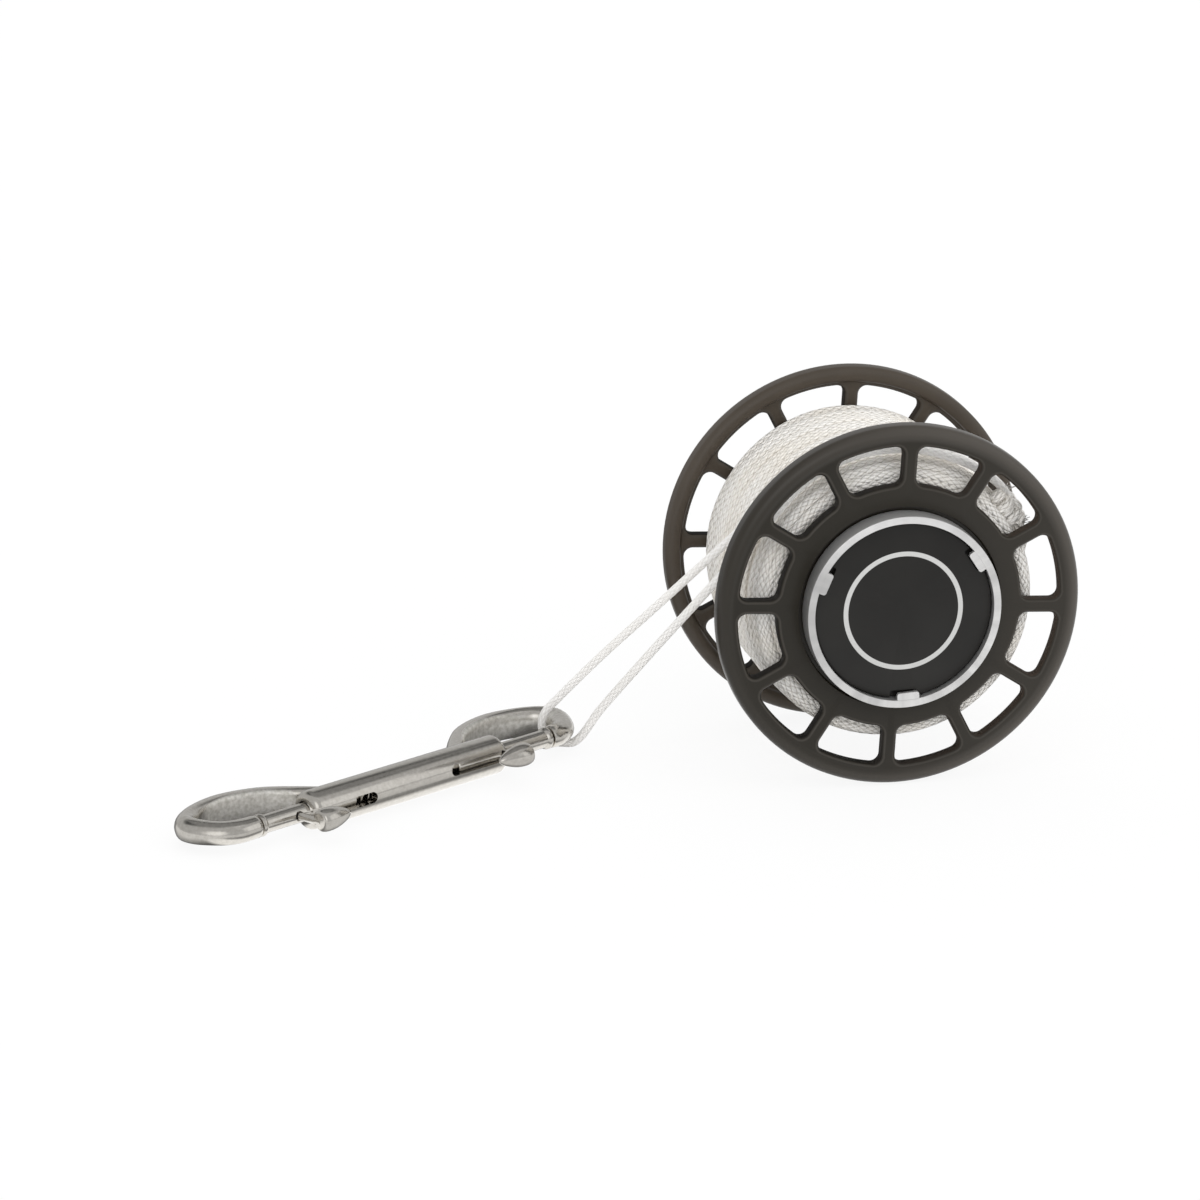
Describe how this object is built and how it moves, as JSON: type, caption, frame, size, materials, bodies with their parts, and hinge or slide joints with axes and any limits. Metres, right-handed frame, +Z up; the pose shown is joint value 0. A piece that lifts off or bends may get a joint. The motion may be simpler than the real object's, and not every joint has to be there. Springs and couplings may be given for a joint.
{
  "type": "finger spool",
  "caption": "Hand-held finger spool: two windowed flanges on a drum of white line, free-turning finger cups, and a line loop holding a double-ended snap.",
  "frame": {"origin": "on the floor under the middle of the spool, between its two rims", "axes": "+X to the right across the spool, +Y along its axis from the front cup to the rear cup, +Z up"},
  "size_m": [0.21, 0.0736, 0.085],
  "materials": {
    "anodised_black": "matt black anodised",
    "cap_black": "smooth black with a pale printed ring",
    "satin_silver": "satin clear anodised",
    "screws": "stainless",
    "bearing_steel": "ground steel",
    "polished_steel": "polished stainless",
    "white_line": "braided white line"
  },
  "bodies": {
    "spool": {"drum": "anodised_black", "front_bearing_outer_race": "bearing_steel", "front_flange": "anodised_black", "front_flange_screw_1": "screws", "front_flange_screw_2": "screws", "front_flange_screw_3": "screws", "left_gate_spring": "polished_steel", "line_core": "white_line", "line_knot": "white_line", "line_loop": "white_line", "line_winding": "white_line", "rear_bearing_outer_race": "bearing_steel", "rear_flange": "anodised_black", "rear_flange_screw_1": "screws", "rear_flange_screw_2": "screws", "rear_flange_screw_3": "screws", "right_gate_spring": "polished_steel", "snap_body": "polished_steel"},
    "finger_cups": {"axle": "screws", "bearing_spacer": "satin_silver", "front_bearing_inner_race": "bearing_steel", "front_centre_cap": "cap_black", "front_cup_screw": "screws", "front_finger_cup": "satin_silver", "rear_bearing_inner_race": "bearing_steel", "rear_centre_cap": "cap_black", "rear_cup_screw": "screws", "rear_finger_cup": "satin_silver"},
    "bearing_cages": {"front_bearing_ball_1": "bearing_steel", "front_bearing_ball_2": "bearing_steel", "front_bearing_ball_3": "bearing_steel", "front_bearing_ball_4": "bearing_steel", "front_bearing_ball_5": "bearing_steel", "front_bearing_ball_6": "bearing_steel", "front_bearing_ball_7": "bearing_steel", "front_bearing_cage": "bearing_steel", "rear_bearing_ball_1": "bearing_steel", "rear_bearing_ball_2": "bearing_steel", "rear_bearing_ball_3": "bearing_steel", "rear_bearing_ball_4": "bearing_steel", "rear_bearing_ball_5": "bearing_steel", "rear_bearing_ball_6": "bearing_steel", "rear_bearing_ball_7": "bearing_steel", "rear_bearing_cage": "bearing_steel"},
    "left_gate": {"left_gate_bolt": "polished_steel", "left_thumb_stud": "polished_steel"},
    "right_gate": {"right_gate_bolt": "polished_steel", "right_thumb_stud": "polished_steel"}
  },
  "joints": [
    {"name": "cup_spin", "type": "hinge", "parent": "spool", "child": "finger_cups", "pos_m": [0, 0, 0.0425], "axis": [0, 1, 0], "continuous": true},
    {"name": "bearing_cage_spin", "type": "hinge", "parent": "spool", "child": "bearing_cages", "pos_m": [0, 0, 0.0425], "axis": [0, 1, 0], "continuous": true},
    {"name": "left_gate_slide", "type": "slide", "parent": "spool", "child": "left_gate", "axis": [0.8664, 0.4992, 0.0061], "range_m": [0, 0.0105], "stiffness_N_per_m": 400, "springref_m": -0.004, "deforming": ["left_gate_spring"]},
    {"name": "right_gate_slide", "type": "slide", "parent": "spool", "child": "right_gate", "axis": [-0.8664, -0.4992, -0.0061], "range_m": [0, 0.0105], "stiffness_N_per_m": 400, "springref_m": -0.004, "deforming": ["right_gate_spring"]}
  ],
  "couplings": [
    {"joint": "bearing_cage_spin", "follows": "cup_spin", "ratio": 0.3667}
  ]
}
